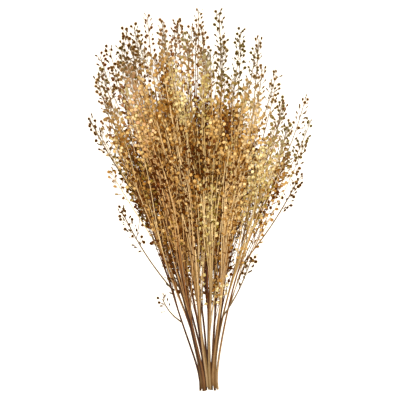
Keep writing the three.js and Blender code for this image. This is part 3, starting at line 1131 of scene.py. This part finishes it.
    def pod_tones(
        self, shoot: Shoot, points: np.ndarray, rng: np.random.Generator
    ) -> tuple[np.ndarray, np.ndarray, np.ndarray]:
        """How light, how brown and how weathered a spray's pods are.

        A pod's own tone is a draw, mixed with its spray's and then its stem's, and spread about the mean. A
        band of painted light on the right side and weathering lighten it. Painted shade in the heart, deep in
        the bunch, from the waist down, over the crown and on the left side darkens it, and a stray twig is
        darker.

        Args:
            shoot: the shoot that ends in the spray.
            points: the pods' places on the spray's axis.
            rng: the stem's seeded draw.

        Returns:
            Tone, hue and weathering of each pod, from 0 to 1.
        """
        place = self.placing
        heart = place.heart_share(points)
        own = mix(rng.random(len(points)), rng.random(), place.spray_tone)
        own = mix(own, draw(self.plan.number, Salt.STEM_TONE), place.stem_tone)
        side, waist = self.plan.side(points), self.plan.waist(points)
        crown = smooth_step(points[:, 1], *place.crown)
        left = np.clip(-side, 0.0, 1.0) ** mix(*place.left_power, waist)
        # Painted shade darkens the pods in the heart and deep in the bunch.
        shade = place.painted_heart_shade * heart + place.painted_deep_shade * self.plan.depth(points)
        # Painted shade darkens them from the waist down and over the crown.
        shade = shade + place.painted_waist_shade * waist + place.painted_crown_shade * crown
        # Painted shade on the left side darkens them, and a stray twig is darker.
        shade = shade + place.stray_shade * shoot.stray + mix(*place.painted_left_shade, waist) * left
        # A band of painted light lightens the pods on the right side.
        light_centre, width = place.painted_light_place
        painted_light = place.painted_light_right * np.exp(-(((side - light_centre) / width) ** 2))
        weather = np.maximum(self.plan.weather(points), shoot.stray)
        spread = place.tone_spread * (1.0 + place.waist_spread * waist)
        own = place.mean_tone + spread * (own - 0.5) + painted_light + place.worn_light * weather - shade
        own = np.clip(own, place.least_worn_tone * weather, 1)
        # The heart's painted shade also turns the hue browner.
        hue = shoot.hue + place.painted_heart_shade_hue * heart + rng.normal(0, place.hue_stray, len(points))
        return own, np.clip(hue, 0, 1), weather


# Finishes


def add_node(tree: Tree, kind: str, settings: dict | None = None, links: dict | None = None) -> Node:
    """Adds a shader node.

    Args:
        tree: the material's node tree.
        kind: the node's type name without its ShaderNode start.
        settings: values by property name, or by input name or number.
        links: output sockets by the input name or number that each goes to.

    Returns:
        The node.
    """
    node = tree.nodes.new("ShaderNode" + kind)
    for key, value in (settings or {}).items():
        if isinstance(key, str) and hasattr(node, key) and key not in node.inputs:
            setattr(node, key, value)
        else:
            node.inputs[key].default_value = value
    for key, socket in (links or {}).items():
        tree.links.new(socket, node.inputs[key])
    return node


def colour_ramp(tree: Tree, factor: Socket, stops: Stops) -> Socket:
    """A colour ramp through (place, hex colour) stops.

    Args:
        tree: the material's node tree.
        factor: what drives the ramp.
        stops: two or more pairs of place and colour, in order.

    Returns:
        The ramp's colour socket.
    """
    ramp = add_node(tree, "ValToRGB", links={"Fac": factor})
    elements = ramp.color_ramp.elements
    while len(elements) < len(stops):
        elements.new(0.5)
    for element, (position, colour) in zip(elements, stops):
        element.position = position
        element.color = linear_colour(colour)
    return ramp.outputs["Color"]


def new_material(name: str, settings: dict) -> tuple[Material, Tree, Node]:
    """A material with one Principled BSDF.

    Args:
        name: the material's name.
        settings: values of the shader's sockets.

    Returns:
        The material, its tree and its shader.
    """
    material = bpy.data.materials.new(name)
    material.use_nodes = True
    tree = material.node_tree
    tree.nodes.clear()
    shader = add_node(tree, "BsdfPrincipled", settings)
    add_node(tree, "OutputMaterial", links={"Surface": shader.outputs["BSDF"]})
    return material, tree, shader


def blend_colours(
    tree: Tree, how: str, factor: float | Socket, first: Socket, second: tuple | Socket
) -> Socket:
    """Mixes two colours.

    Args:
        tree: the material's node tree.
        how: Blender's name of the blend.
        factor: how much of the second colour there is, as a number or a socket.
        first: the first colour.
        second: the second colour, as a socket or an RGBA value.

    Returns:
        The mixed colour's socket.
    """
    node = add_node(tree, "Mix", {"data_type": "RGBA", "blend_type": how}, {6: first})
    for slot, value in ((0, factor), (7, second)):
        if isinstance(value, Socket):
            tree.links.new(value, node.inputs[slot])
        else:
            node.inputs[slot].default_value = value
    return node.outputs[2]


def object_noise(tree: Tree, size: float, detail: float, length: float | None = None) -> Socket:
    """Noise over the object's own coordinates.

    Args:
        tree: the material's node tree.
        size: size of its grains in metres.
        detail: octaves of detail.
        length: their length in metres along the bunch, where they are drawn out.

    Returns:
        The noise's value socket.
    """
    place = add_node(tree, "TexCoord").outputs["Object"]
    scale = 1 / size
    if length:
        stretch = add_node(tree, "Mapping", {"Scale": (scale, 1 / length, scale)}, {"Vector": place})
        place = stretch.outputs["Vector"]
        scale = 1.0
    return add_node(tree, "TexNoise", {"Scale": scale, "Detail": detail}, {"Vector": place}).outputs["Fac"]


def tone_sockets(tree: Tree) -> list[Socket]:
    """The tone attribute's channels.

    Args:
        tree: the material's node tree.

    Returns:
        Its red, green, blue and alpha sockets.
    """
    tone = add_node(tree, "VertexColor", {"layer_name": "tone"})
    parts = add_node(tree, "SeparateColor", links={"Color": tone.outputs["Color"]})
    return [*(parts.outputs[i] for i in range(3)), tone.outputs["Alpha"]]


def add_bump(tree: Tree, shader: Node, height: Socket, strength: float, distance: float) -> None:
    """Gives a shader a bump from a height socket, at a strength and a distance in metres."""
    bump = add_node(tree, "Bump", {"Strength": strength, "Distance": distance}, {"Height": height})
    tree.links.new(bump.outputs["Normal"], shader.inputs["Normal"])


@dataclass(frozen=True)
class PodColours:
    """Colours of dry pods from the deepest to the palest, as places on a ramp and hex values."""

    golden: Stops = ((0, "#4c2600"), (0.3, "#94682a"), (0.55, "#be9a5c"), (0.8, "#d6b880"), (1, "#e6d0a0"))
    olive: Stops = ((0, "#402d00"), (0.3, "#88722e"), (0.55, "#b4a264"), (0.8, "#ccbe86"), (1, "#e2d8a8"))
    russet: Stops = ((0, "#461c00"), (0.3, "#824e26"), (0.55, "#ac7e52"), (0.8, "#c8a27a"), (1, "#dec4a0"))
    weathered: Stops = ((0.1, "#aaa692"), (0.5, "#baae9c"), (0.9, "#c2a696"))


@dataclass(frozen=True)
class SeedPodFinish:
    """Dry papery pods, ripened and dried on the stem: matte, golden tan, with russet and olive sprays.

    The tone attribute gives each pod its own place on the ramps, its side, its spray's hue and how weathered
    it is. A fresh pod is pale, with a browner rim. A weathered one went duller, most of all in its middle,
    where the seed sits, and its rim is a thin, light edge.
    """

    name: str
    olive_until: float
    russet_from: float
    colours: PodColours = PodColours()
    seed: Stops = ((0.0, "#f0e8dc"), (0.36, WHITE), (0.45, "#c8b08a"), (0.55, "#c8b08a"), (0.66, "#f2eade"))
    worn_seed: Stops = (
        (0.0, "#74644c"),
        (0.34, "#84745c"),
        (0.45, "#f2e8d8"),
        (0.55, "#f2e8d8"),
        (0.7, "#7a6a52"),
    )
    olive_blur: float = 0.04
    russet_blur: float = 0.08
    speck_size: float = 0.5
    speck_depth: float = 0.2

    def material(self) -> Material:
        """Builds the material.

        Returns:
            The material.
        """
        material, tree, shader = new_material(
            self.name, {"Roughness": 0.85, "Specular IOR Level": 0.05, "IOR": 1.45}
        )
        own, side, hue, weather = tone_sockets(tree)
        speck = object_noise(tree, self.speck_size * MM, 2.0)
        colours = self.colours
        golden, olive, russet = (
            colour_ramp(tree, own, stops) for stops in (colours.golden, colours.olive, colours.russet)
        )
        until, since = self.olive_until, self.russet_from
        is_olive = self.step(tree, hue, until + self.olive_blur, until - self.olive_blur)
        is_russet = self.step(tree, hue, since - self.russet_blur, since + self.russet_blur)
        base = blend_colours(tree, "MIX", is_olive, golden, olive)
        base = blend_colours(tree, "MIX", is_russet, base, russet)
        seed, worn_seed = (colour_ramp(tree, side, stops) for stops in (self.seed, self.worn_seed))
        seeded = blend_colours(tree, "MIX", weather, seed, worn_seed)
        sided = blend_colours(tree, "MULTIPLY", 1.0, base, seeded)
        weathered = colour_ramp(tree, hue, colours.weathered)
        sided = blend_colours(tree, "MULTIPLY", weather, sided, weathered)
        mottle = colour_ramp(tree, speck, ((0.3, "#d4c8b6"), (0.62, WHITE)))
        tree.links.new(blend_colours(tree, "MULTIPLY", 0.6, sided, mottle), shader.inputs["Base Color"])
        add_bump(tree, shader, speck, 0.35, self.speck_depth * MM)
        return material

    @staticmethod
    def step(tree: Tree, value: Socket, low: float, high: float) -> Socket:
        """A soft step: 0 where the value is at low and 1 where it is at high."""
        settings = {"clamp": True, "From Min": low, "From Max": high}
        return add_node(tree, "MapRange", settings, {"Value": value}).outputs["Result"]


@dataclass(frozen=True)
class DryStemFinish:
    """Dry stems and stalks: matte straw with fine lengthwise fibres. Towards the foot they turn browner and
    darker, partly their own colour and partly painted shade.

    The tone attribute gives each stem its own place on the straw's ramp, the share along it from its foot,
    and how weathered it is. The outermost stalks weathered to a dull brown.
    """

    name: str
    straw: Stops
    # Towards the foot: partly the stems' own browning, partly painted shade.
    foot: Stops = ((0.0, "#705436"), (0.2, "#806244"), (0.3, "#ac906c"), (0.5, "#e4d6c2"), (1.0, "#d9cbb8"))
    weathered: str = "#604c32"
    fibre_width: float = 0.35
    fibre_length: float = 14.0
    fibre_depth: float = 0.15

    def material(self) -> Material:
        """Builds the material.

        Returns:
            The material.
        """
        material, tree, shader = new_material(
            self.name, {"Roughness": 0.7, "Specular IOR Level": 0.3, "IOR": 1.45}
        )
        own, along, _, weather = tone_sockets(tree)
        fibre = object_noise(tree, self.fibre_width * MM, 3.0, self.fibre_length * MM)
        base = colour_ramp(tree, own, self.straw)
        fibres = colour_ramp(tree, fibre, ((0.3, "#8f7350"), (0.58, WHITE)))
        streaked = blend_colours(tree, "MULTIPLY", 0.75, base, fibres)
        footed = blend_colours(tree, "MULTIPLY", 0.8, streaked, colour_ramp(tree, along, self.foot))
        worn = blend_colours(tree, "MIX", weather, footed, linear_colour(self.weathered))
        tree.links.new(worn, shader.inputs["Base Color"])
        add_bump(tree, shader, fibre, 0.5, self.fibre_depth * MM)
        return material


@dataclass(frozen=True)
class PithFinish:
    """Pale, spongy pith at a cut end: cream, matte, with fine pores."""

    name: str = "dry_stem_pith_cut"
    colour: str = "#e6d3a8"
    pore_size: float = 0.25

    def material(self) -> Material:
        """Builds the material.

        Returns:
            The material.
        """
        material, tree, shader = new_material(self.name, {"Roughness": 0.9, "Specular IOR Level": 0.2})
        pores = object_noise(tree, self.pore_size * MM, 2.0)
        shade = colour_ramp(tree, pores, ((0.35, "#b79664"), (0.6, self.colour)))
        tree.links.new(shade, shader.inputs["Base Color"])
        return material


@dataclass(frozen=True)
class StemFinishSet:
    """The materials of the stems of one record slot.

    Sprays are olive until one hue and russet from another, with a soft step between.
    """

    slot: str
    straw: Stops
    olive_until: float
    russet_from: float

    def materials(self, pith: Material) -> list[Material]:
        """Builds the stem and pod materials.

        Args:
            pith: the pith's material, which all the sets share.

        Returns:
            Stem, pod and pith materials, in slot order.
        """
        stem = DryStemFinish(f"dry_fibrous_{self.slot}", self.straw).material()
        pod = SeedPodFinish(f"dry_papery_pod_{self.slot}", self.olive_until, self.russet_from).material()
        return [stem, pod, pith]


FINISH_SETS = (
    StemFinishSet(
        slot="straw_stem",
        straw=((0.0, "#5c3206"), (0.3, "#956626"), (0.6, "#c89f58"), (1.0, "#f4dcaa")),
        olive_until=0.12,
        russet_from=0.72,
    ),
    StemFinishSet(
        slot="olive_stem",
        straw=((0.0, "#523606"), (0.3, "#8a6826"), (0.6, "#bd9c58"), (1.0, "#ecd8a4")),
        olive_until=0.34,
        russet_from=0.86,
    ),
    StemFinishSet(
        slot="russet_stem",
        straw=((0.0, "#502806"), (0.3, "#84521e"), (0.6, "#b6874a"), (1.0, "#e8c68e")),
        olive_until=0.06,
        russet_from=0.5,
    ),
)


# Studio


@dataclass(frozen=True)
class SquareLight:
    """A white, square area light that faces the bunch's middle, with metres for sizes and watts for power."""

    name: str
    position: tuple[float, float, float]
    size: float
    power: float

    def add(self) -> None:
        """Adds the light."""
        light = bpy.data.lights.new(self.name, "AREA")
        light.size = self.size
        light.energy = self.power
        lamp = bpy.data.objects.new(self.name, light)
        lamp.location = self.position
        x, y, z = self.position
        lamp.rotation_euler = (math.atan2(math.hypot(x, y), z), 0.0, math.atan2(x, -y))
        bpy.context.scene.collection.objects.link(lamp)


@dataclass(frozen=True)
class Studio:
    """A pale floor, light from overhead with a soft fill, and a camera that looks straight down."""

    key: SquareLight = SquareLight("key_light", (0.0, 0.0, 1.66), 0.06, 49.5)
    fill: SquareLight = SquareLight("fill_light", (0.9, -0.5, 1.3), 1.4, 2.0)
    sky_colour: str = "#fff3e0"
    sky_strength: float = 0.3
    floor_mottle: Stops = ((0.3, "#f0e7d8"), (0.7, "#f2eadd"))
    floor_grain: float = 1 / 9
    floor_size: float = 6.0
    floor_drop: float = 0.0004
    frame_width: float = 0.480
    frame_height_above: float = 0.045
    lens: float = 120.0
    sensor: float = 36.0
    aim: tuple[float, float] = (0.0, -0.0013)

    def build(self) -> None:
        """Builds the floor, the lights and the camera."""
        self.add_floor()
        self.key.add()
        self.fill.add()
        world = bpy.data.worlds.new("soft_studio")
        world.use_nodes = True
        background = world.node_tree.nodes["Background"]
        background.inputs["Color"].default_value = linear_colour(self.sky_colour)
        background.inputs["Strength"].default_value = self.sky_strength
        bpy.context.scene.world = world
        bpy.context.scene.view_settings.view_transform = "Standard"
        self.add_camera()

    def add_floor(self) -> None:
        """Adds a square sheet just under the bunch, in a matte pale material with a faint mottle."""
        half = self.floor_size / 2
        mesh = bpy.data.meshes.new("studio_floor")
        z = -self.floor_drop
        corners = [(-half, -half, z), (half, -half, z), (half, half, z), (-half, half, z)]
        mesh.from_pydata(corners, [], [(0, 1, 2, 3)])
        material, tree, shader = new_material(
            "matte_paper_sweep", {"Roughness": 0.95, "Specular IOR Level": 0.15}
        )
        mottle = object_noise(tree, self.floor_grain, 1.0)
        shade = colour_ramp(tree, mottle, self.floor_mottle)
        tree.links.new(shade, shader.inputs["Base Color"])
        mesh.materials.append(material)
        floor = bpy.data.objects.new("studio_floor", mesh)
        bpy.context.scene.collection.objects.link(floor)

    def add_camera(self) -> None:
        """Adds the camera, over the bunch's mid height by the frame's width times lens over sensor."""
        data = bpy.data.cameras.new("overhead_camera")
        data.lens = self.lens
        data.sensor_width = self.sensor
        camera = bpy.data.objects.new("overhead_camera", data)
        distance = self.frame_width * self.lens / self.sensor
        camera.location = (*self.aim, self.frame_height_above + distance)
        bpy.context.scene.collection.objects.link(camera)
        bpy.context.scene.camera = camera


# The bunch


@dataclass
class Bunch:
    """All the cut stems of the bunch, each as one fine piece in place of its solid."""

    layout: BunchLayout = field(default_factory=BunchLayout)
    node_name: str = "seed_stem_{:02d}"
    box_clear: float = 0.15

    def plans(self) -> list[StemPlan]:
        """Places the stems.

        Returns:
            One plan for each place in the pile, layer by layer from the surface up.
        """
        plans = []
        for layer, count in enumerate(self.layout.layers):
            for k in range(count):
                plans.append(StemPlan(self.layout, len(plans), k - (count - 1) / 2, layer))
        return plans

    def build(self) -> None:
        """Builds each stem in place of its node's solid, which it hides, and finishes it from the node's
        slot.
        """
        slots = {part["node"]: part["material_slot"] for part in frame["record"]["subparts"]}
        pith = PithFinish().material()
        materials = {finish.slot: finish.materials(pith) for finish in FINISH_SETS}
        middle = np.array([*self.layout.middle, 0.0])
        low, high = (np.array(corner) / MM + middle for corner in CAD_BOUNDS)
        for plan in self.plans():
            node = self.node_name.format(plan.number + 1)
            parts = FineStem(plan).build(low + self.box_clear, high - self.box_clear)
            piece = parts.to_object(f"fine_{node}", self.layout, materials[slots[node]])
            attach(piece, "root")
            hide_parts(node)
            LOG.info("%s: %d triangles", piece.name, len(piece.data.polygons))


def write_sizes() -> None:
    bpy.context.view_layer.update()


def main() -> None:
    """Builds the bunch and the studio in order."""
    logging.basicConfig(level=logging.INFO, format="%(name)s: %(message)s")
    Bunch().build()
    Studio().build()
    write_sizes()


if __name__ == "__main__":
    main()
